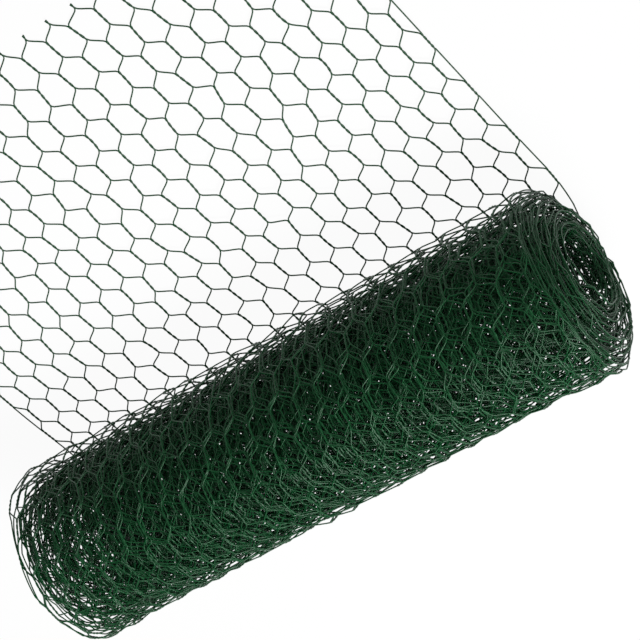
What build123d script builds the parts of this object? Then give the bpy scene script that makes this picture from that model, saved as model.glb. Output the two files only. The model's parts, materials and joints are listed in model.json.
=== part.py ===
from build123d import *
import os
from math import hypot, sqrt

# Netting, in millimetres: the mesh is hexagonal, with its twisted sides along the netting's length
netting_width = 500.0
wire_diameter = 1.0
whole_cells = 22
selvedge_cell_width = 7.0
row_pitch = 25.2
twist_share = 0.66

# Loose leaf: the flat stretch that has come off the roll
leaf_rows = 13
cut_tail_length = 6.0
leaf_sideways_shift = 16.0
seat_gap = 0.3

# Wound roll: the turns have slid past each other sideways, so its ends are stepped
roll_diameter = 148.0
bore_diameter = 36.0
sideways_slip = 12.0
turn_slip_shares = (0.0, 0.9, 0.35, 0.75, 0.2, 0.6, 1.0, 0.45, 0.8, 0.3)

# Mesh sizes that follow from the netting: two wires make a twist, and each row ends in one half mesh
twist_width = 2 * wire_diameter
twist_length = twist_share * row_pitch
slant_rise = row_pitch - twist_length
cell_pitch = (netting_width - twist_width - 2 * selvedge_cell_width) / (whole_cells - 0.5)

# Places along the leaf, measured from the roll's axis, and the shift that centres the whole part
roll_radius = roll_diameter / 2
roll_length = netting_width + sideways_slip
root_y = sqrt(roll_radius**2 - (roll_radius - wire_diameter - seat_gap) ** 2)
cut_y = root_y + (leaf_rows + 1) * row_pitch - twist_length / 2 + cut_tail_length
leaf_low_x = leaf_sideways_shift - netting_width / 2
leaf_high_x = leaf_sideways_shift + netting_width / 2
axis_x = -(min(leaf_low_x, -roll_length / 2) + max(leaf_high_x, roll_length / 2)) / 2
axis_y = -(cut_y - roll_radius) / 2


def twist_lines():
    """Places across the leaf of the lines that the twists lie on, half a mesh apart, selvedges first and last."""
    first = leaf_low_x + twist_width / 2
    last = leaf_high_x - twist_width / 2
    inner = [first + selvedge_cell_width + cell_pitch / 2 * line for line in range(2 * whole_cells)]
    return [first] + inner + [last]


def row_y(row):
    """Middle line of a row of meshes; row 0 is the first whole one off the roll."""
    return root_y + (row + 1) * row_pitch


def opening_edge(row, cell):
    """Upper edge of a mesh opening from left to right: x, and the height above the row's middle line.
    Even rows end in a half mesh on the left selvedge, odd rows in one on the right selvedge."""
    lines = twist_lines()
    peak = 2 * cell + row % 2
    twist_end = twist_length / 2
    edge = []
    slopes = []
    drops = []
    for side in (-1, 1):
        beside = peak + side
        whole = 0 <= beside < len(lines)
        slope = slant_rise / abs(lines[beside] - lines[peak]) if whole else 0
        slopes.append(slope)
        drops.append(wire_diameter / 2 * hypot(1, slope))
        if whole:
            shoulder_x = lines[beside] - side * twist_width / 2
            edge.append((shoulder_x, twist_end + slope * twist_width / 2 - drops[-1]))
    if len(edge) == 2:
        lean = (drops[0] - drops[1]) / sum(slopes)
        peak_point = (lines[peak] + lean, twist_end + slant_rise + slopes[0] * lean - drops[0])
        return [edge[0], peak_point, edge[1]]
    peak_point = (lines[peak], twist_end + slant_rise - max(drops))
    return [peak_point] + edge if peak == 0 else edge + [peak_point]


def mesh_opening(row, cell):
    """Closed outline of one mesh opening."""
    edge = opening_edge(row, cell)
    upper = [(x, row_y(row) + height) for x, height in edge]
    lower = [(x, row_y(row) - height) for x, height in reversed(edge)]
    return Wire.make_polygon(upper + lower, close=True)


def open_row_edge(row, end_y, side):
    """Zigzag of a row that is cut through: the ends of its bars lie at end_y, its slants on the given side."""
    points = []
    for cell in range(whole_cells + 1):
        edge = opening_edge(row, cell)
        points.append((edge[0][0], end_y))
        points += [(x, row_y(row) + side * height) for x, height in edge]
        points.append((edge[-1][0], end_y))
    return points


def make_loose_leaf():
    """Flat netting: a plate one wire thick, outlined by selvedges and cut ends, with every mesh cut out."""
    root_edge = open_row_edge(-1, root_y, 1)
    cut_edge = open_row_edge(leaf_rows, cut_y, -1)
    root_side = [(leaf_low_x, root_y)] + root_edge + [(leaf_high_x, root_y)]
    cut_side = [(leaf_high_x, cut_y)] + cut_edge[::-1] + [(leaf_low_x, cut_y)]
    outline = Wire.make_polygon(root_side + cut_side, close=True)
    openings = [mesh_opening(row, cell) for row in range(leaf_rows) for cell in range(whole_cells + 1)]
    return extrude(Face(outline, openings), amount=wire_diameter, dir=(0, 0, 1))


def make_netting_roll():
    """Wound turns: one turned solid with its bore, each band of turns as wide as the netting and slid sideways."""
    band = (roll_diameter - bore_diameter) / 2 / len(turn_slip_shares)
    left_end = []
    for turn, share in enumerate(turn_slip_shares):
        left_x = sideways_slip * share - roll_length / 2
        left_end.append((left_x, roll_radius - band * turn))
        left_end.append((left_x, roll_radius - band * (turn + 1)))
    right_end = [(x + netting_width, radius) for x, radius in reversed(left_end)]
    profile = make_face(Polyline(*left_end, *right_end, close=True))
    return Pos(0, 0, roll_radius) * revolve(profile, axis=Axis.X)


os.makedirs("parts", exist_ok=True)
for name, solid in (("netting_roll", make_netting_roll()), ("loose_leaf", make_loose_leaf())):
    export_step(Pos(axis_x, axis_y, 0) * solid, f"parts/{name}.step")
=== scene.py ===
import json
from collections import namedtuple

import bpy
import numpy as np
from bpy.props import FloatProperty, FloatVectorProperty, IntProperty, PointerProperty
from mathutils import Matrix, Vector


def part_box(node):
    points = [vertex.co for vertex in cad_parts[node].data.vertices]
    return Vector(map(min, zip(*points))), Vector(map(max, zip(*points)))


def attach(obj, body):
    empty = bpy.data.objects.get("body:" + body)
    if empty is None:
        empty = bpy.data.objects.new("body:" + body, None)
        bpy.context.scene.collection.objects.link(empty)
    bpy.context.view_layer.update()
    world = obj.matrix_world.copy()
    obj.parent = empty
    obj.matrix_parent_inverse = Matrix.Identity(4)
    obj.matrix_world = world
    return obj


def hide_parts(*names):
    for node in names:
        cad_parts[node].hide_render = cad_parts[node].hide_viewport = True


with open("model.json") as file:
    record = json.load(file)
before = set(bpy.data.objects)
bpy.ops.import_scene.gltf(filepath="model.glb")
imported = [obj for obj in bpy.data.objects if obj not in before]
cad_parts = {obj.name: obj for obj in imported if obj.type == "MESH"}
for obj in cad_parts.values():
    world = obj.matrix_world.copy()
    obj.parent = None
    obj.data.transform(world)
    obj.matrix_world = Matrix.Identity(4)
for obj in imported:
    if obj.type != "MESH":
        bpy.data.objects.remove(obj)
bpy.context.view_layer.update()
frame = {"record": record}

bl_info = {
    "name": "Roll of Hexagonal Wire Netting",
    "version": (1, 0, 0),
    "blender": (4, 5, 0),
    "location": "3D View > Sidebar > Netting",
    "description": "Weaves a roll of green coated netting, with its loose leaf, around a fixed frame",
    "category": "Add Mesh",
}

# The fixed frame: the box of the wound roll and of the loose leaf, and the roll's bore
ROLL_LOW, ROLL_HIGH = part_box("netting_roll")
LEAF_LOW, LEAF_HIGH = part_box("loose_leaf")
BORE = next(mount for mount in frame["record"]["mounts"] if mount["name"] == "bore")
AXIS_Y = BORE["pos_m"][1]
AXIS_Z = BORE["pos_m"][2]
ROLL_MIDDLE = (ROLL_LOW.x + ROLL_HIGH.x) / 2
LEAF_MIDDLE = (LEAF_LOW.x + LEAF_HIGH.x) / 2
MILLIMETRE = 0.001
FULL_TURN = 2 * np.pi

# Places on one round of the netting, as shares of a turn. It leaves the floor at 0, passes behind the roll
# at a quarter and over its top at a half, and comes down its front.
LEFT_SKEW_PLACE = 0.33
RIGHT_SKEW_PLACE = 0.57
RIGHT_SINK_PLACE = 0.58
FRONT_PLACE = 0.84

# Turns over which each unevenness sets in after the floor
SLIP_START = 0.5
SKEW_START = 0.3
DENT_START = 0.6
CLUMP_START = 1.0
BELLY_START = 0.6
SWELL_START = 0.3
SINK_START = 0.5

# Turns over which an unevenness of the outer turns falls to about a third
RIGHT_SKEW_TURNS = 9.0
FRONT_BULGE_TURNS = 1.3
END_SWELL_TURNS = 4.0

# Turns that count as deep: the first of them, and the turns until they slip in full
FIRST_DEEP_TURN = 5.0
DEEPENING_TURNS = 8.0

# The swing from the leaf's line to the roll's, in metres: how far before the roll it starts, and its length
SWING_LEAD = 0.05
SWING_LENGTH = 0.14

# Shares that shape the roll's ends: how much of its length is near an end, how many of the steps lie to the
# right, how much of the right skew goes all round, and how much of the front's shape the right end loses
NEAR_END_SHARE = 0.2
RIGHT_STEP_SHARE = 0.62
ROUND_SKEW_SHARE = 0.25
RIGHT_BULGE_LOSS_SHARE = 0.5
RIGHT_SINK_LOSS_SHARE = 0.5

# The leaf: the length over which it settles into its own shape, the length over which it lifts off the floor,
# how much that lift varies, and how much of the sideways spread also pulls lengthways
LEAF_SETTLE_LENGTH = 0.1
LEAF_LIFT_LENGTH = 0.1
LIFT_VARIATION_SHARE = 0.6
LENGTHWAYS_PULL_SHARE = 0.25

# Shares of the leaf's half width: the straight band beside a selvedge, and where the selvedge starts
STRAIGHT_EDGE_SHARE = 0.08
SELVEDGE_SHARE = 0.98

# Lowest place of a wire's centre above the floor, as a share of the wire, and how far a slant keeps the
# direction of its twists, as a share of its length
LOWEST_CENTRE_SHARE = 0.6
SLANT_PULL_SHARE = 0.4

# Most waves of each unevenness: for each turn and each metre across on the roll, for each metre on the flat
SLIP_WAVES = (0.9, 0.0)
DENT_WAVES = (2.3, 7.0)
CLUMP_WAVES = (0.4, 0.0)
LIFT_WAVES = (4.0, 4.0)
WANDER_WAVES = (9.0, 9.0)
WAVE_COUNT = 9

# Seeds of the random draws
WEAVE_SEED = 3
DENT_SEED = 7
CLUMP_SEED = 9
LIFT_SEED = 11
SIDEWAYS_WANDER_SEED = 21
LENGTHWAYS_WANDER_SEED = 22
SLIP_SEED = 2116

# Steps in which the spiral's length is summed
SPIRAL_STEPS = 6000

# How finely a wire is drawn: steps along a twist, points between two twists, and sides around the wire
Detail = namedtuple("Detail", "twist_steps slant_points sides")
LEAF_DETAIL = Detail(9, 4, 7)
ROLL_SELVEDGE_DETAIL = Detail(5, 1, 5)

# Rows are counted from the roll towards the leaf's cut end, so those on the roll come before this one
FIRST_LEAF_ROW = -1

# The roll's mesh wires from the outside in: each group's name, its deepest row and its detail
ROLL_GROUPS = (
    ("outer_turn_wires", -28, Detail(6, 3, 6)),
    ("second_turn_wires", -56, Detail(6, 3, 5)),
    ("third_turn_wires", -120, Detail(3, 1, 4)),
    ("fourth_turn_wires", -190, Detail(3, 1, 4)),
    ("deep_turn_wires", -280, Detail(2, 1, 3)),
)
CORE_NAME = "core_turn_wires"
CORE_DETAIL = Detail(2, 1, 3)

# The coating's pattern: the scale and detail of its noises, the height and strength of the skin's bumps, and
# how far the skin spreads the roughness
MOTTLE_SCALE = 55.0
MOTTLE_DETAIL = 4.0
SKIN_SCALE = 900.0
SKIN_DETAIL = 3.0
SKIN_HEIGHT = 0.0002
SKIN_STRENGTH = 0.25
ROUGHNESS_SPREAD = 0.24

# The stage: half the floor's width, the width of the camera's sensor in millimetres, and plain white
FLOOR_HALF_WIDTH = 4.0
SENSOR_WIDTH = 36.0
WHITE = (1.0, 1.0, 1.0, 1.0)


class NettingSizes(bpy.types.PropertyGroup):
    """Sizes of the woven netting and of its roll."""

    wire_diameter: FloatProperty(
        name="Wire", description="Diameter of the coated wire", default=0.00115, unit="LENGTH")
    whole_cells: IntProperty(
        name="Whole meshes", description="Whole meshes in each row, beside one half mesh", default=22)
    selvedge_cell_width: FloatProperty(
        name="Selvedge mesh", description="Width of the half mesh beside a selvedge",
        default=0.007, unit="LENGTH")
    row_pitch: FloatProperty(
        name="Row pitch", description="Distance from one row of meshes to the next",
        default=0.0252, unit="LENGTH")
    twist_share: FloatProperty(
        name="Twist share", description="Share of the row pitch that is twisted",
        default=0.66, subtype="FACTOR")
    half_twists: IntProperty(
        name="Half twists", description="Half turns that two wires make about each other", default=3)
    pair_spacing: FloatProperty(
        name="Pair spacing", description="Distance between the two wires of a twist, as a share of the wire",
        default=0.7, subtype="FACTOR")
    leaf_rows: IntProperty(
        name="Leaf rows", description="Whole rows of meshes on the loose leaf", default=13)
    cut_tail_length: FloatProperty(
        name="Cut tails", description="Length of the cut twists at the leaf's end",
        default=0.0048, unit="LENGTH")
    turns: FloatProperty(
        name="Turns", description="Turns of netting on the roll", default=31.0)


class NettingUnevenness(bpy.types.PropertyGroup):
    """How far the netting is from a perfect one."""

    mesh_wander: FloatProperty(
        name="Mesh wander", description="Usual distance of a twist on the leaf from its even place",
        default=0.0004, unit="LENGTH")
    roll_wander: FloatProperty(
        name="Roll wander", description="The same distance on the roll, where the netting is bent",
        default=0.001, unit="LENGTH")
    twist_lean: FloatProperty(
        name="Twist lean", description="Usual sideways slope of a twist", default=0.085)
    twist_bow: FloatProperty(
        name="Twist bow", description="Usual sideways bow of a twist", default=0.0004, unit="LENGTH")
    twist_rise: FloatProperty(
        name="Twist rise", description="Usual height of a twist above or below its turn",
        default=0.0007, unit="LENGTH")
    leaf_offset: FloatVectorProperty(
        name="Leaf offset", description="How far the whole leaf is pulled out of line",
        default=(-0.0034, 0.001), subtype="XYZ", unit="LENGTH", size=2)
    leaf_stretch: FloatProperty(
        name="Leaf stretch", description="How far the meshes of the leaf spread from its middle",
        default=0.0092, unit="LENGTH")
    leaf_squeeze: FloatProperty(
        name="Leaf squeeze", description="How far the meshes beside the selvedges draw in again",
        default=0.0119, unit="LENGTH")
    leaf_fan: FloatProperty(
        name="Leaf fan", description="How far the meshes spread at the cut end and draw in at the root",
        default=0.0026, unit="LENGTH")
    leaf_sway: FloatVectorProperty(
        name="Leaf sway", description="How far both ends of the leaf stray from its middle",
        default=(0.0017, 0.0022), subtype="XYZ", unit="LENGTH", size=2)
    leaf_lift: FloatProperty(
        name="Leaf lift", description="Height of the waves in the loose leaf", default=0.0015, unit="LENGTH")
    middle_slack: FloatProperty(
        name="Middle slack", description="Power that spreads the turns at the middle of the roll",
        default=0.8)
    left_slack: FloatProperty(
        name="Left slack", description="The same power at the left end of the roll", default=0.75)
    right_slack: FloatProperty(
        name="Right slack", description="The same power at the right end of the roll", default=1.15)
    sag: FloatProperty(
        name="Sag", description="How far the innermost turns hang below the roll's axis",
        default=0.010, unit="LENGTH")
    turn_ripple: FloatProperty(
        name="Turn ripple", description="Usual dent or bulge of a turn", default=0.0009, unit="LENGTH")
    front_bulge: FloatProperty(
        name="Front bulge", description="How far the first turn bellies out over the leaf",
        default=0.011, unit="LENGTH")
    front_sink: FloatProperty(
        name="Front sink", description="How far the turns sink in at the front",
        default=0.006, unit="LENGTH")
    right_sink: FloatProperty(
        name="Right sink", description="How far the top of the right end sinks in",
        default=0.005, unit="LENGTH")
    end_swell: FloatProperty(
        name="End swell", description="How far the outer turns spring out at both ends",
        default=0.0025, unit="LENGTH")
    turn_step: FloatProperty(
        name="Turn step", description="How far each outer turn stands to the right of the one around it",
        default=0.0019, unit="LENGTH")
    most_steps: FloatProperty(
        name="Most steps", description="Steps to the right that all the turns add up to", default=6.0)
    turns_in_clump: FloatProperty(
        name="Turns in a clump", description="Turns that lie close together before the next step",
        default=3.2)
    clump_depth: FloatProperty(
        name="Clump depth", description="How close the turns of a clump lie, where 0 spaces them evenly",
        default=1.2)
    left_skew: FloatProperty(
        name="Left skew", description="How far the left end stands out behind and draws in at the front",
        default=0.002, unit="LENGTH")
    right_skew: FloatProperty(
        name="Right skew", description="How far the top of the right end stands out",
        default=0.0085, unit="LENGTH")
    turn_slip: FloatProperty(
        name="Turn slip", description="Usual distance that an outer turn slips along the roll",
        default=0.0004, unit="LENGTH")
    deep_slip: FloatProperty(
        name="Deep slip", description="Usual distance that a deep turn slips along the roll",
        default=0.0042, unit="LENGTH")
    end_clumps: FloatProperty(
        name="End clumps", description="How far turns bunch together at the left end",
        default=0.0004, unit="LENGTH")


class WireFinish(bpy.types.PropertyGroup):
    """Colours and gloss of the coated wire."""

    coating: FloatVectorProperty(
        name="Coating", description="Colour of the plastic coating", default=(0.0010, 0.036, 0.009),
        subtype="COLOR", size=3, min=0.0, max=1.0)
    worn_coating: FloatVectorProperty(
        name="Worn coating", description="Colour where the coating is rubbed", default=(0.004, 0.085, 0.024),
        subtype="COLOR", size=3, min=0.0, max=1.0)
    roughness: FloatProperty(
        name="Roughness", description="Roughness of the coating", default=0.40, subtype="FACTOR")
    gloss: FloatProperty(
        name="Gloss", description="Strength of the coating's reflections", default=0.38, subtype="FACTOR")


class StudioStage(bpy.types.PropertyGroup):
    """Floor, lamps, sky and camera."""

    floor_colour: FloatVectorProperty(
        name="Floor", description="Colour of the floor", default=(0.90, 0.90, 0.90),
        subtype="COLOR", size=3, min=0.0, max=1.0)
    floor_white: FloatProperty(
        name="Floor white", description="Share of plain white in the floor that the camera sees",
        default=0.95, subtype="FACTOR")
    key_place: FloatVectorProperty(
        name="Key lamp", description="Place of the key lamp", default=(0.3, -0.7, 1.15),
        subtype="XYZ", size=3)
    key_width: FloatProperty(
        name="Key width", description="Width of the key lamp", default=0.7, unit="LENGTH")
    key_power: FloatProperty(
        name="Key power", description="Power of the key lamp", default=21.0, unit="POWER")
    fill_place: FloatVectorProperty(
        name="Fill lamp", description="Place of the fill lamp", default=(0.9, 1.3, 1.6),
        subtype="XYZ", size=3)
    fill_width: FloatProperty(
        name="Fill width", description="Width of the fill lamp", default=1.6, unit="LENGTH")
    fill_power: FloatProperty(
        name="Fill power", description="Power of the fill lamp", default=11.0, unit="POWER")
    sky_strength: FloatProperty(
        name="Sky", description="Strength of the white sky", default=0.08)
    camera_place: FloatVectorProperty(
        name="Camera", description="Place of the camera", default=(0.8103, 0.71085, 1.260),
        subtype="XYZ", size=3)
    camera_aim: FloatVectorProperty(
        name="Aim", description="Direction of view", default=(-0.462, -0.486, -0.742), subtype="XYZ", size=3)
    camera_right: FloatVectorProperty(
        name="Right", description="Direction to the right of the picture", default=(0.770, -0.635, -0.063),
        subtype="XYZ", size=3)
    camera_lens: FloatProperty(
        name="Lens", description="Focal length in millimetres", default=121.4)


def smooth_step(value):
    """0 below 0, 1 above 1, and an S-shaped rise between."""
    share = np.clip(value, 0.0, 1.0)
    return share * share * (3.0 - 2.0 * share)


def fade_in(turn, turns):
    """0 at turn 0, where the netting leaves the floor, and an S-shaped rise to 1 over the given turns."""
    return smooth_step(turn / turns)


def fade_out(turn, turns):
    """1 at turn 0, and an exponential fall to about a third over the given turns."""
    return np.exp(-turn / turns)


def passing(turn, place):
    """1 where a turn passes a place on its round, and 0 from a quarter turn off: a cosine, cut off below 0
    and squared."""
    return np.maximum(np.cos(FULL_TURN * (turn - place)), 0.0) ** 2


def ripple(along, across, pitches, seed):
    """Smooth unevenness of about unit size: sine waves that run along and across, with random pitch and
    phase. pitches gives the most waves for each unit along and for each unit across."""
    draw = np.random.default_rng(seed)
    total = 0.0
    for wave in range(WAVE_COUNT):
        along_rate, across_rate = draw.uniform(-1.0, 1.0, 2) * FULL_TURN * np.array(pitches)
        total = total + np.sin(along_rate * along + across_rate * across + draw.uniform(0, FULL_TURN))
    return total * np.sqrt(2.0 / WAVE_COUNT)


def near_end(distance):
    """1 at an end of the roll, and an S-shaped fall to 0 over the near share of its length."""
    return smooth_step(1.0 - distance / (NEAR_END_SHARE * (ROLL_HIGH.x - ROLL_LOW.x)))


def near_left_end(x):
    """1 at the roll's left end, and 0 away from it."""
    return near_end(x - ROLL_LOW.x)


def near_right_end(x):
    """1 at the roll's right end, and 0 away from it."""
    return near_end(ROLL_HIGH.x - x)


def turns_to_come(sizes, turn):
    """Share of the turns that lie further in: 1 at the outside and 0 at the innermost turn."""
    return np.clip(1.0 - turn / sizes.turns, 0.0, 1.0)


def clumped_turn(uneven, turn):
    """Turns counted so that they lie in clumps: the count plus a sine, which slows it within a clump and
    speeds it up between two."""
    rate = FULL_TURN / uneven.turns_in_clump
    return turn + uneven.clump_depth / rate * np.sin(rate * turn)


def spiral_radius(sizes, uneven, turn, x):
    """Radius of the wound netting: from the roll's outside inwards, by a power of the clumped turns to come.
    The power changes towards each end. The innermost turn is wider than the bore by as much as it sags."""
    outside = AXIS_Z - sizes.wire_diameter / 2
    inside = BORE["dims"]["r_mm"] * MILLIMETRE + sizes.wire_diameter + uneven.sag
    power = (
        uneven.middle_slack + (uneven.left_slack - uneven.middle_slack) * near_left_end(x)
        + (uneven.right_slack - uneven.middle_slack) * near_right_end(x)
    )
    return inside + (outside - inside) * turns_to_come(sizes, clumped_turn(uneven, turn)) ** power


def turn_slip(uneven, turn):
    """Distance that the netting slips along the roll: sine waves along the turns, larger on the deep ones."""
    deep = smooth_step((turn - FIRST_DEEP_TURN) / DEEPENING_TURNS)
    usual = uneven.turn_slip + (uneven.deep_slip - uneven.turn_slip) * deep
    return usual * fade_in(turn, SLIP_START) * ripple(turn, 0.0 * turn, SLIP_WAVES, SLIP_SEED)


def turn_place(uneven, turn, wound, x):
    """Place along the roll of the meshes at x on the flat netting, at a turn and at its wound length.
    The netting swings from the leaf's line to the roll's as it leaves the floor. The turns then step to the
    right as they go in, by an exponential of the clumped turns. The left end skews by a cosine around the
    roll, the top of the right end stands out on the outer turns, and all turns slip to and fro."""
    on_roll = x + ROLL_MIDDLE - LEAF_MIDDLE
    swung = smooth_step((wound + SWING_LEAD) / SWING_LENGTH)
    still_to_step = fade_out(clumped_turn(uneven, turn), uneven.most_steps)
    step = uneven.turn_step * (uneven.most_steps * (RIGHT_STEP_SHARE - still_to_step)) * swung
    left_out = uneven.left_skew * np.cos(FULL_TURN * (turn - LEFT_SKEW_PLACE)) * near_left_end(on_roll)
    on_top = passing(turn, RIGHT_SKEW_PLACE) * fade_out(turn, RIGHT_SKEW_TURNS)
    right_out = uneven.right_skew * (on_top + ROUND_SKEW_SHARE) * near_right_end(on_roll)
    skew = (right_out - left_out) * fade_in(turn, SKEW_START)
    return x + swung * (on_roll - x) + step + skew + turn_slip(uneven, turn)


def turn_bulge(sizes, uneven, turn, x):
    """How far a turn lies outside its spiral: sine ripples along and around the roll, a belly on the front of
    the first turn over the next ones, which sink in, ends that spring out, the left one in clumps of turns,
    and a sunken top on the right end."""
    to_come = turns_to_come(sizes, turn)
    left = near_left_end(x)
    right = near_right_end(x)
    dents = uneven.turn_ripple * ripple(turn, x, DENT_WAVES, DENT_SEED) * fade_in(turn, DENT_START)
    bunches = ripple(turn, 0.0 * x, CLUMP_WAVES, CLUMP_SEED)
    clumps = uneven.end_clumps * left * bunches * fade_in(turn, CLUMP_START)
    begun = fade_in(turn, BELLY_START)
    first = fade_out(turn - FRONT_PLACE, FRONT_BULGE_TURNS) * begun * (1.0 - RIGHT_BULGE_LOSS_SHARE * right)
    sink = to_come * begun * (1.0 - RIGHT_SINK_LOSS_SHARE * right**3)
    belly = passing(turn, FRONT_PLACE) * (uneven.front_bulge * first - uneven.front_sink * sink)
    ends = left**2 + right**2
    swell = uneven.end_swell * ends * fade_out(turn, END_SWELL_TURNS) * fade_in(turn, SWELL_START)
    sunken = passing(turn, RIGHT_SINK_PLACE)
    slump = uneven.right_sink * sunken * right**2 * to_come * fade_in(turn, SINK_START)
    return dents + clumps + belly + swell - slump


def turns_by_length(sizes, uneven):
    """Wound length against turns: the length of the spiral at the roll's middle, summed in small steps."""
    turn = np.linspace(0.0, sizes.turns, SPIRAL_STEPS)
    radius = spiral_radius(sizes, uneven, turn, ROLL_MIDDLE)
    step = FULL_TURN * (radius[1:] + radius[:-1]) / 2 * np.diff(turn)
    return np.concatenate(([0.0], np.cumsum(step))), turn


def wind(sizes, uneven, flat):
    """Lays flat netting out. flat holds x, the distance in front of the roll's axis, and the height above the
    sheet. In front of the axis the sheet lies on the floor in low waves. Behind it, the sheet runs round the
    spiral with its bulges, moves to its place along the roll, and hangs lower the further in it lies.
    Returns the places and the sheet's normals."""
    x, y, height = flat[..., 0], flat[..., 1], flat[..., 2]
    length, turns = turns_by_length(sizes, uneven)
    turn = np.interp(-y, length, turns)
    wound_x = turn_place(uneven, turn, -y, x)
    radius = spiral_radius(sizes, uneven, turn, wound_x) + turn_bulge(sizes, uneven, turn, wound_x) - height
    hang = uneven.sag * (1.0 - turns_to_come(sizes, turn))
    angle = FULL_TURN * turn
    waves = 1.0 + LIFT_VARIATION_SHARE * ripple(y, x, LIFT_WAVES, LIFT_SEED)
    lift = uneven.leaf_lift * waves * smooth_step(y / LEAF_LIFT_LENGTH)
    on_roll = y < 0
    wound_y = AXIS_Y + np.where(on_roll, -radius * np.sin(angle), y)
    roll_z = AXIS_Z - hang - radius * np.cos(angle)
    leaf_z = sizes.wire_diameter + height + np.maximum(lift, 0.0)
    wound_z = np.maximum(np.where(on_roll, roll_z, leaf_z), LOWEST_CENTRE_SHARE * sizes.wire_diameter)
    place = np.stack([wound_x, wound_y, wound_z], axis=-1)
    normal = np.stack([np.zeros_like(x), np.sin(angle), np.cos(angle)], axis=-1)
    return place, normal


def twist_lines(sizes):
    """Places across the netting of the lines that twists lie on: half a mesh apart, with a selvedge first and
    last."""
    first = LEAF_LOW.x + sizes.wire_diameter
    last = LEAF_HIGH.x - sizes.wire_diameter
    inner = np.linspace(
        first + sizes.selvedge_cell_width, last - sizes.selvedge_cell_width, 2 * sizes.whole_cells)
    return np.concatenate(([first], inner, [last]))


def leaf_pull(uneven, share, y):
    """How far the leaf's twists are pulled across and along. share runs from -1 to 1 between the selvedges.
    The pull is an offset, a spread that is a cubic of share, a fan that grows along the leaf, and a sway by
    the square of the distance from its middle. The left selvedge isn't pulled across, and the right one only
    by the offset."""
    middle = (LEAF_LOW.y + LEAF_HIGH.y) / 2 - AXIS_Y
    outwards = np.clip(2 * (y - middle) / (LEAF_HIGH.y - LEAF_LOW.y), -1.0, 1.0)
    spread = uneven.leaf_stretch * share - uneven.leaf_squeeze * share**3
    fan = uneven.leaf_fan * share * outwards
    mesh_across = uneven.leaf_offset[0] + spread + fan + uneven.leaf_sway[0] * outwards**2
    edge_across = uneven.leaf_offset[0] * (share > 0)
    across = np.where(np.abs(share) < SELVEDGE_SHARE, mesh_across, edge_across)
    along = uneven.leaf_offset[1] + LENGTHWAYS_PULL_SHARE * spread + uneven.leaf_sway[1] * outwards**2
    return across, along


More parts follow.
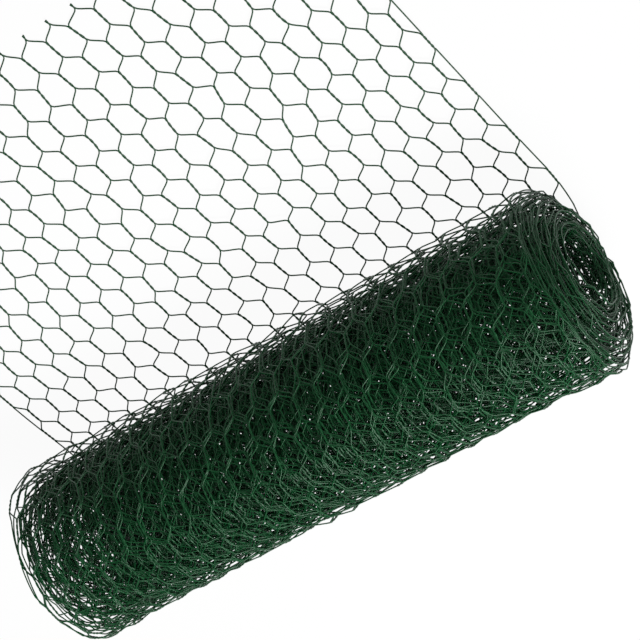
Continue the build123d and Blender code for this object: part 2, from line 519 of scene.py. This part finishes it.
class Weave:
    """The netting as flat wires: where each twist lies, and how each wire runs from twist to twist."""

    def __init__(self, sizes, uneven):
        """Places a twist on every line and row, pulls those of the leaf, and lets all wander at random.
        Away from the selvedges they also lean and bow, and on the roll they rise and tilt."""
        self.sizes = sizes
        self.uneven = uneven
        self.twist_length = sizes.twist_share * sizes.row_pitch
        length = turns_by_length(sizes, uneven)[0][-1]
        self.first_row = -int(length / sizes.row_pitch)
        self.lines = twist_lines(sizes)
        rows = np.arange(self.first_row, sizes.leaf_rows + 2)
        shape = (len(self.lines), len(rows))
        root_y = LEAF_LOW.y - AXIS_Y
        y = root_y + (rows[None, :] + 1) * sizes.row_pitch + np.zeros(shape)
        x = self.lines[:, None] + np.zeros(shape)
        share = (2 * x - LEAF_LOW.x - LEAF_HIGH.x) / (LEAF_HIGH.x - LEAF_LOW.x)
        off_edge = smooth_step((1.0 - np.abs(share)) / STRAIGHT_EDGE_SHARE)
        on_leaf = smooth_step((y + LEAF_SETTLE_LENGTH) / LEAF_SETTLE_LENGTH)
        wound = rows < FIRST_LEAF_ROW
        pull_x, pull_y = leaf_pull(uneven, share, y)
        sideways = ripple(y, x, WANDER_WAVES, SIDEWAYS_WANDER_SEED)
        lengthways = ripple(y, x, WANDER_WAVES, LENGTHWAYS_WANDER_SEED)
        draw = np.random.default_rng(WEAVE_SEED)
        usual = np.where(wound, uneven.roll_wander, uneven.mesh_wander)
        wander = usual * (draw.normal(size=(2, *shape)) + np.stack([sideways, lengthways]))
        self.x = x + on_leaf * pull_x + np.maximum(off_edge, wound) * wander[0]
        self.y = y + on_leaf * pull_y + wander[1]
        self.lean = off_edge * uneven.twist_lean * draw.normal(size=shape)
        self.rise = uneven.twist_rise * draw.normal(size=shape) * wound
        self.tilt = uneven.twist_lean * draw.normal(size=shape) * wound
        self.bow = off_edge * uneven.twist_bow * draw.normal(size=shape)

    def lanes(self, rows):
        """For each wire and row: its twist line, and its direction as it arrives and as it leaves.
        A wire moves one line over at each row and turns back at a selvedge."""
        count = len(self.lines) - 1
        phase = (2 * np.arange(count)[:, None] + 1 + rows[None, :]) % (2 * count)
        line = np.where(phase > count, 2 * count - phase, phase)
        arrives = np.where((phase > 0) & (phase <= count), 1, -1)
        leaves = np.where(phase < count, 1, -1)
        return line, arrives, leaves

    def twist_points(self, line, rows, start_angle, turning, along):
        """A wire's points in its twists: a helix about the twist's own line, which slopes and bows as a
        parabola. along runs from 0 to 1."""
        at = (line, rows - self.first_row)
        angle = start_angle[..., None] + turning[..., None] * along
        radius = self.sizes.pair_spacing * self.sizes.wire_diameter / 2
        run = (along - 0.5) * self.twist_length
        bulge = 1.0 - 4.0 * (along - 0.5) ** 2
        sideways = self.lean[at][..., None] * run + self.bow[at][..., None] * bulge
        return np.stack([
            self.x[at][..., None] + sideways + radius * np.cos(angle),
            self.y[at][..., None] + run + 0.0 * angle,
            self.rise[at][..., None] + self.tilt[at][..., None] * run + radius * np.sin(angle),
        ], axis=-1)

    def join(self, twists, slant_points, tail):
        """Joins the twists of each wire by slants: cubic curves that leave one twist and meet the next along
        the netting's length. The last row ends with its cut tail, or where its twist would start."""
        s = ((np.arange(slant_points) + 1.0) / (slant_points + 1.0))[None, None, :, None]
        start = twists[:, :-1, -1:, :]
        end = twists[:, 1:, :1, :]
        chord = np.linalg.norm(end - start, axis=-1, keepdims=True)
        pull = chord * np.array([0.0, SLANT_PULL_SHARE, 0.0])
        slants = (
            (2 * s**3 - 3 * s**2 + 1) * start + (3 * s**2 - 2 * s**3) * end
            + (2 * s**3 - 3 * s**2 + s) * pull
        )
        body = np.concatenate([twists[:, :-1], slants], axis=2)
        body = body.reshape(len(twists), -1, 3)
        last = twists[:, -1] if tail else twists[:, -1, :1]
        return np.concatenate([body, last], axis=1)

    def steps_along(self, rows, detail, tail):
        """Steps from 0 to 1 along the twist of each row. A tail cuts the last row's off after that share."""
        along = np.linspace(0.0, 1.0, detail.twist_steps + 1) * np.ones((rows, 1))
        if tail:
            along[-1] *= tail
        return along

    def mesh_wires(self, first, last, detail, tail=0.0):
        """Centre lines of the wires that zigzag through rows first to last. Two wires twist by the half turns
        of the netting, and by one more where a wire turns back at a selvedge."""
        rows = np.arange(first, last + 1)
        line, arrives, leaves = self.lanes(rows)
        half_turns = self.sizes.half_twists + (arrives != leaves)
        along = self.steps_along(len(rows), detail, tail)
        start_angle = np.where(arrives > 0, np.pi, 0.0)
        twists = self.twist_points(line, rows, start_angle, np.pi * half_turns, along)
        return self.join(twists, detail.slant_points, tail)

    def selvedge_wires(self, first, last, detail, tail=0.0):
        """Centre lines of the two straight edge wires, which turn about the mesh wire on every other row."""
        rows = np.arange(first, last + 1) + np.zeros((2, 1), int)
        line = np.array([[0], [len(self.lines) - 1]]) + 0 * rows
        twisted = (rows + np.array([[0], [1]])) % 2 == 1
        along = self.steps_along(rows.shape[1], detail, tail)
        start_angle = np.array([[np.pi], [0.0]]) + 0.0 * rows
        turning = np.pi * (self.sizes.half_twists + 1) * twisted
        twists = self.twist_points(line, rows, start_angle, turning, along)
        return self.join(twists, detail.slant_points, tail)


def wire_points(weave, flat, sides):
    """Points on round wires: a ring of points about each point of the wound centre lines, square to the line.
    Returns an array of wires, rings and sides."""
    centre, normal = wind(weave.sizes, weave.uneven, flat)
    ahead = np.gradient(centre, axis=1)
    ahead /= np.linalg.norm(ahead, axis=-1, keepdims=True)
    across = np.cross(normal, ahead)
    across /= np.linalg.norm(across, axis=-1, keepdims=True)
    above = np.cross(ahead, across)
    angle = FULL_TURN * np.arange(sides) / sides
    ring = np.cos(angle)[:, None] * across[:, :, None, :] + np.sin(angle)[:, None] * above[:, :, None, :]
    return centre[:, :, None, :] + weave.sizes.wire_diameter / 2 * ring


def wire_faces(wires, rings, sides):
    """Faces of the wires: four-cornered ones between neighbouring rings, and one that closes each end.
    Returns the corners of all faces in a row, and where each face starts in it."""
    index = np.arange(wires * rings * sides).reshape(wires, rings, sides)
    beside = np.roll(index, -1, axis=2)
    walls = np.stack([index[:, :-1], beside[:, :-1], beside[:, 1:], index[:, 1:]], axis=-1).reshape(-1, 4)
    caps = np.concatenate([index[:, 0, ::-1], index[:, -1, :]])
    corners = np.concatenate([walls.ravel(), caps.ravel()])
    starts = np.concatenate([np.arange(len(walls)) * 4, walls.size + np.arange(len(caps)) * sides])
    return corners, starts


def wire_strips(wires, rings, sides):
    """Flat map for each corner of the faces: every wire is an upright strip, as wide as its share of the map,
    with its length upwards, and its end faces shrink to the strip's foot and head."""
    wire = np.arange(wires)[:, None, None]
    ring = np.arange(rings - 1)[None, :, None]
    side = np.arange(sides)[None, None, :]
    step_u = np.array([0.0, 1.0, 1.0, 0.0]) / sides
    step_v = np.array([0.0, 0.0, 1.0, 1.0])
    wall_u = ((wire + side / sides) + 0 * ring)[..., None] / wires + step_u / wires
    wall_v = ((ring + 0 * wire + 0 * side)[..., None] + step_v) / (rings - 1)
    cap_wire = np.tile(np.repeat(np.arange(wires), sides), 2)
    cap_u = (cap_wire + 0.5) / wires
    cap_v = np.repeat([0.0, 1.0], wires * sides)
    u = np.concatenate([wall_u.ravel(), cap_u])
    v = np.concatenate([wall_v.ravel(), cap_v])
    return np.stack([u, v], axis=-1)


def add_wires(name, weave, flat, sides, node):
    """One mesh of round wires: a ring of points carried along each centre line, with closed ends."""
    points = wire_points(weave, flat, sides)
    corners, starts = wire_faces(*points.shape[:3])
    mesh = bpy.data.meshes.new(name)
    mesh.vertices.add(points.size // 3)
    mesh.vertices.foreach_set("co", points.astype(np.float32).ravel())
    mesh.loops.add(len(corners))
    mesh.loops.foreach_set("vertex_index", corners.astype(np.int32))
    mesh.polygons.add(len(starts))
    mesh.polygons.foreach_set("loop_start", starts.astype(np.int32))
    mesh.polygons.foreach_set("use_smooth", np.ones(len(starts), bool))
    strips = wire_strips(*points.shape[:3])
    mesh.uv_layers.new(name="OFBake").uv.foreach_set("vector", strips.astype(np.float32).ravel())
    mesh.update(calc_edges=True)
    if mesh.validate():
        raise RuntimeError(f"{name}: the mesh had faults")
    piece = bpy.data.objects.new(name, mesh)
    bpy.context.scene.collection.objects.link(piece)
    mesh.materials.append(coated_wire(bpy.context.scene.wire_finish))
    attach(piece, "root")
    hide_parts(node)


class Socket:
    """A node's output that takes part in Python arithmetic; each operation adds a Math node."""

    def __init__(self, tree, output):
        self.tree = tree
        self.output = output

    def maths(self, operation, left, right):
        """Adds a Math node on two sockets or numbers and returns its output."""
        node = self.tree.nodes.new("ShaderNodeMath")
        node.operation = operation
        for entry, value in zip(node.inputs, (left, right)):
            if isinstance(value, Socket):
                self.tree.links.new(value.output, entry)
            else:
                entry.default_value = value
        return Socket(self.tree, node.outputs[0])

    def __add__(self, other):
        return self.maths("ADD", self, other)

    def __radd__(self, other):
        return self.maths("ADD", other, self)

    def __mul__(self, other):
        return self.maths("MULTIPLY", self, other)

    def __rmul__(self, other):
        return self.maths("MULTIPLY", other, self)


class Shader:
    """One material's node tree."""

    def __init__(self, name):
        self.material = bpy.data.materials.new(name)
        self.material.use_nodes = True
        self.tree = self.material.node_tree
        self.tree.nodes.clear()

    def node(self, kind, settings=None, sockets=None, outlet=0):
        """Adds any node: its settings first, then the values or links of its sockets. Returns one output."""
        node = self.tree.nodes.new(kind)
        for name, value in (settings or {}).items():
            setattr(node, name, value)
        for name, value in (sockets or {}).items():
            if isinstance(value, Socket):
                self.tree.links.new(value.output, node.inputs[name])
            else:
                node.inputs[name].default_value = value
        return Socket(self.tree, node.outputs[outlet]) if node.outputs else None

    def finish(self, surface):
        """Sends a shader to the material's surface and returns the material."""
        self.node("ShaderNodeOutputMaterial", sockets={"Surface": surface})
        return self.material


def coated_wire(finish):
    """Satin green plastic: mottled where it is rubbed, with a fine uneven skin. All wires share it."""
    name = "green_coating"
    if name in bpy.data.materials:
        return bpy.data.materials[name]
    shader = Shader(name)
    place = shader.node("ShaderNodeTexCoord", outlet="Object")
    mottle = shader.node(
        "ShaderNodeTexNoise", sockets={"Vector": place, "Scale": MOTTLE_SCALE, "Detail": MOTTLE_DETAIL})
    skin = shader.node(
        "ShaderNodeTexNoise", sockets={"Vector": place, "Scale": SKIN_SCALE, "Detail": SKIN_DETAIL})
    colour = shader.node(
        "ShaderNodeMixRGB",
        sockets={"Fac": mottle, "Color1": (*finish.coating, 1.0), "Color2": (*finish.worn_coating, 1.0)})
    bump = shader.node(
        "ShaderNodeBump", sockets={"Height": skin, "Strength": SKIN_STRENGTH, "Distance": SKIN_HEIGHT})
    roughness = finish.roughness - ROUGHNESS_SPREAD / 2 + ROUGHNESS_SPREAD * skin
    surface = shader.node("ShaderNodeBsdfPrincipled", sockets={
        "Base Color": colour, "Roughness": roughness, "Specular IOR Level": finish.gloss, "Normal": bump})
    return shader.finish(surface)


def white_floor(stage):
    """Pale floor: what the camera, gloss and clear things see of it is mostly plain white, and the rest is
    shaded."""
    shader = Shader("studio_floor")
    by_camera = shader.node("ShaderNodeLightPath", outlet="Is Camera Ray")
    by_gloss = shader.node("ShaderNodeLightPath", outlet="Is Glossy Ray")
    by_glass = shader.node("ShaderNodeLightPath", outlet="Is Transmission Ray")
    white_share = stage.floor_white * (by_camera + by_gloss + by_glass)
    matt = shader.node("ShaderNodeBsdfDiffuse", sockets={"Color": (*stage.floor_colour, 1.0)})
    white = shader.node("ShaderNodeEmission", sockets={"Color": WHITE, "Strength": 1.0})
    return shader.finish(shader.node("ShaderNodeMixShader", sockets={0: white_share, 1: matt, 2: white}))


def add_floor(scene):
    """A wide square on the ground."""
    half = FLOOR_HALF_WIDTH
    corners = [(-half, -half, 0), (half, -half, 0), (half, half, 0), (-half, half, 0)]
    mesh = bpy.data.meshes.new("studio_floor")
    mesh.from_pydata(corners, [], [(0, 1, 2, 3)])
    mesh.materials.append(white_floor(scene.studio_stage))
    floor = bpy.data.objects.new("studio_floor", mesh)
    scene.collection.objects.link(floor)


def add_lamp(scene, name, place, width, power):
    """A square lamp that shines at the origin."""
    lamp = bpy.data.lights.new(name, "AREA")
    lamp.size = width
    lamp.energy = power
    holder = bpy.data.objects.new(name, lamp)
    holder.location = place
    holder.rotation_euler = (-Vector(place)).to_track_quat("-Z", "Y").to_euler()
    scene.collection.objects.link(holder)


def add_sky(scene):
    """An even white sky."""
    world = bpy.data.worlds.new("studio_sky")
    world.use_nodes = True
    background = world.node_tree.nodes["Background"]
    background.inputs["Color"].default_value = WHITE
    background.inputs["Strength"].default_value = scene.studio_stage.sky_strength
    scene.world = world


def add_camera(scene):
    """The photograph's camera, turned so that the picture's right lies along the given direction."""
    stage = scene.studio_stage
    lens = bpy.data.cameras.new("photo_camera")
    lens.lens = stage.camera_lens
    lens.sensor_width = SENSOR_WIDTH
    camera = bpy.data.objects.new("photo_camera", lens)
    ahead = Vector(stage.camera_aim).normalized()
    right = Vector(stage.camera_right)
    right = (right - ahead * right.dot(ahead)).normalized()
    up = right.cross(ahead)
    turn = Matrix((right, up, -ahead)).transposed()
    camera.matrix_world = Matrix.Translation(stage.camera_place) @ turn.to_4x4()
    scene.collection.objects.link(camera)
    scene.camera = camera


class NETTING_OT_loose_leaf(bpy.types.Operator):
    """Weave the loose leaf, with its selvedges and cut ends"""

    bl_idname = "netting.loose_leaf"
    bl_label = "Loose Leaf"

    def execute(self, context):
        sizes = context.scene.netting_sizes
        weave = Weave(sizes, context.scene.netting_unevenness)
        span = (FIRST_LEAF_ROW, sizes.leaf_rows, LEAF_DETAIL, sizes.cut_tail_length / weave.twist_length)
        add_wires("leaf_mesh_wires", weave, weave.mesh_wires(*span), LEAF_DETAIL.sides, "loose_leaf")
        add_wires("leaf_selvedge_wires", weave, weave.selvedge_wires(*span), LEAF_DETAIL.sides, "loose_leaf")
        return {"FINISHED"}


class NETTING_OT_wound_turns(bpy.types.Operator):
    """Weave the turns of the roll, with less detail the deeper they lie"""

    bl_idname = "netting.wound_turns"
    bl_label = "Wound Turns"

    def execute(self, context):
        weave = Weave(context.scene.netting_sizes, context.scene.netting_unevenness)
        groups = (*ROLL_GROUPS, (CORE_NAME, weave.first_row, CORE_DETAIL))
        outermost = FIRST_LEAF_ROW
        for name, deepest, detail in groups:
            flat = weave.mesh_wires(deepest, outermost, detail)
            add_wires(name, weave, flat, detail.sides, "netting_roll")
            outermost = deepest
        edges = weave.selvedge_wires(weave.first_row, FIRST_LEAF_ROW, ROLL_SELVEDGE_DETAIL)
        add_wires("roll_selvedge_wires", weave, edges, ROLL_SELVEDGE_DETAIL.sides, "netting_roll")
        return {"FINISHED"}


class NETTING_OT_stage(bpy.types.Operator):
    """Set the floor, the lamps, the sky and the camera"""

    bl_idname = "netting.stage"
    bl_label = "Stage"

    def execute(self, context):
        scene = context.scene
        stage = scene.studio_stage
        add_floor(scene)
        add_lamp(scene, "key_lamp", stage.key_place, stage.key_width, stage.key_power)
        add_lamp(scene, "fill_lamp", stage.fill_place, stage.fill_width, stage.fill_power)
        add_sky(scene)
        add_camera(scene)
        scene.view_settings.view_transform = "Standard"
        return {"FINISHED"}


class NETTING_PT_sidebar(bpy.types.Panel):
    """Sizes, finish and build steps"""

    bl_idname = "NETTING_PT_sidebar"
    bl_label = "Wire Netting"
    bl_space_type = "VIEW_3D"
    bl_region_type = "UI"
    bl_category = "Netting"

    def draw(self, context):
        for group_name, group in GROUPS.items():
            box = self.layout.box()
            for name in group.__annotations__:
                box.prop(getattr(context.scene, group_name), name)
        for operator in OPERATORS:
            self.layout.operator(operator.bl_idname)


GROUPS = {
    "netting_sizes": NettingSizes,
    "netting_unevenness": NettingUnevenness,
    "wire_finish": WireFinish,
    "studio_stage": StudioStage,
}
OPERATORS = (NETTING_OT_loose_leaf, NETTING_OT_wound_turns, NETTING_OT_stage)


def register():
    for name, group in GROUPS.items():
        bpy.utils.register_class(group)
        setattr(bpy.types.Scene, name, PointerProperty(type=group))
    for panel_or_operator in (*OPERATORS, NETTING_PT_sidebar):
        bpy.utils.register_class(panel_or_operator)


def unregister():
    for panel_or_operator in (NETTING_PT_sidebar, *reversed(OPERATORS)):
        bpy.utils.unregister_class(panel_or_operator)
    for name, group in reversed(GROUPS.items()):
        delattr(bpy.types.Scene, name)
        bpy.utils.unregister_class(group)


def main():
    register()
    bpy.ops.netting.loose_leaf()
    bpy.ops.netting.wound_turns()
    bpy.ops.netting.stage()


if __name__ == "__main__":
    main()
